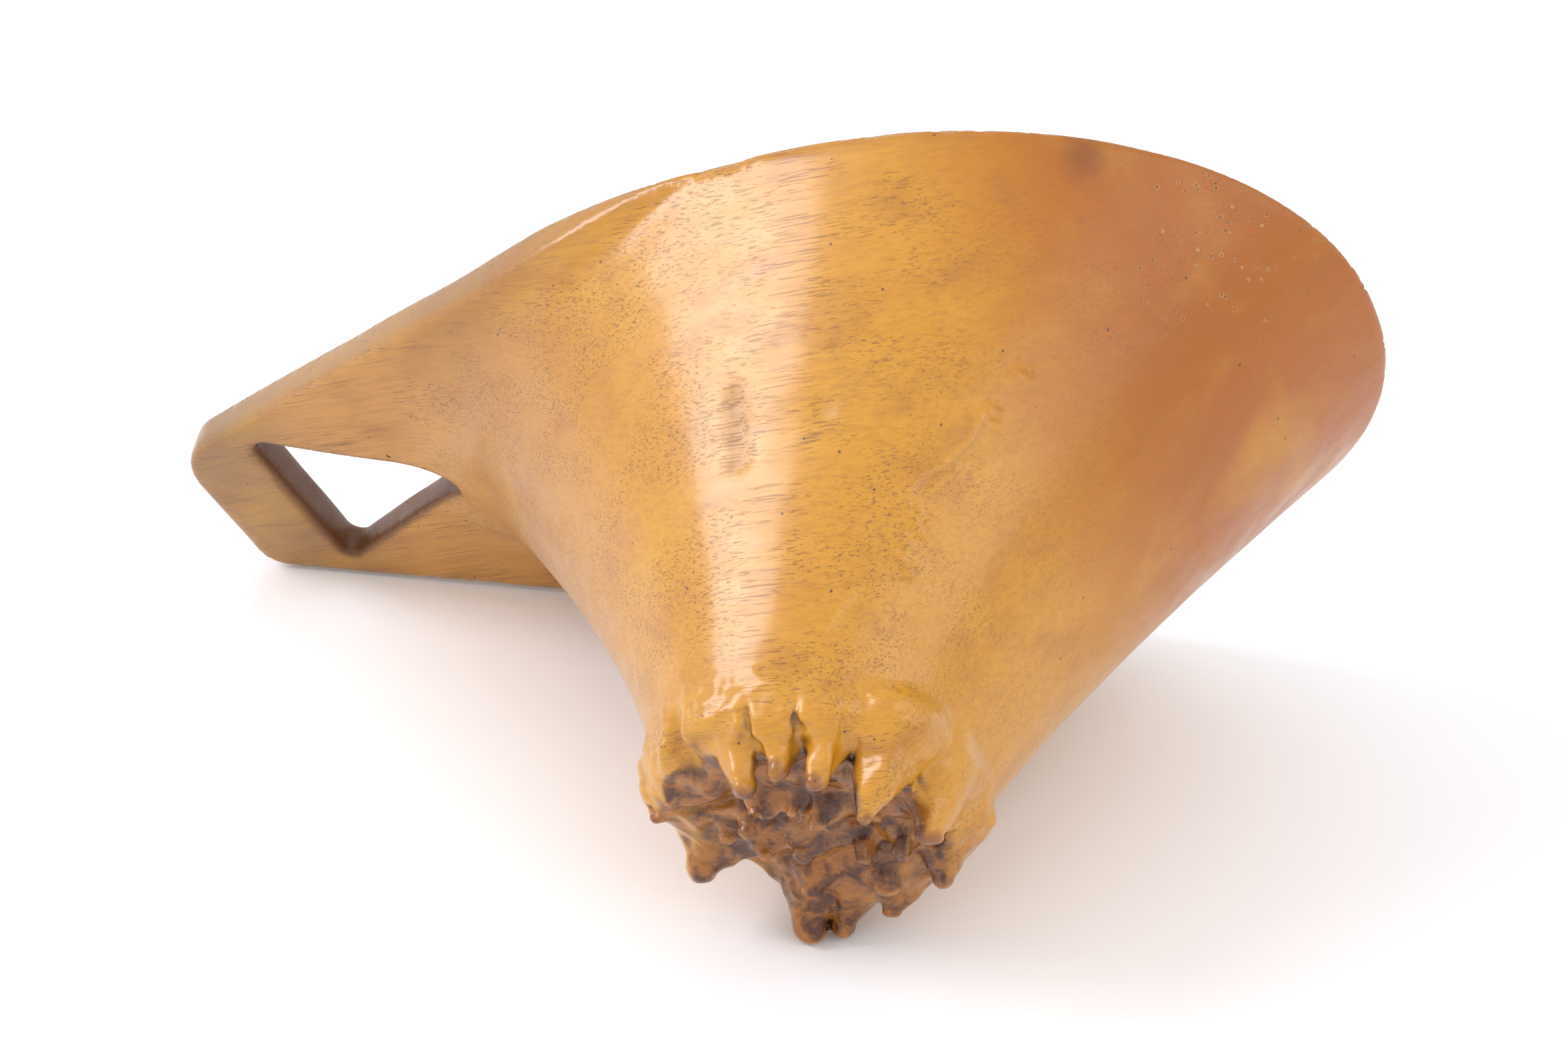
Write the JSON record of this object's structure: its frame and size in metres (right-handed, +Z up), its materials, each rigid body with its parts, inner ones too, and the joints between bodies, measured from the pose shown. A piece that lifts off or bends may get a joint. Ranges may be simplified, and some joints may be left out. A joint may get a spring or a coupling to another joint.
{
  "type": "hand scoop",
  "caption": "Hand-carved wooden scoop: a horn-shaped bowl flaring from a knobbly root crown to an oval mouth, with a flat tapered handle and a triangular finger hole.",
  "frame": {"origin": "centre of the bounding box, on the surface that the scoop lies on", "axes": "the scoop lies on its side: +X along the table from the handle's end to the pouring tip, +Y from the root crown to the mouth, +Z up"},
  "size_m": [0.2054, 0.1182, 0.1124],
  "materials": {
    "honey_wood": "old glossy varnish over honey-brown wood",
    "amber_wood": "worn varnish over yellow-brown wood",
    "root_wood": "dark knobbly root wood under varnish"
  },
  "bodies": {
    "root": {"bowl": "honey_wood", "root_crown": "root_wood", "handle_upper_arm": "amber_wood", "handle_lower_arm": "amber_wood", "handle_grip_bar": "amber_wood"}
  },
  "joints": []
}
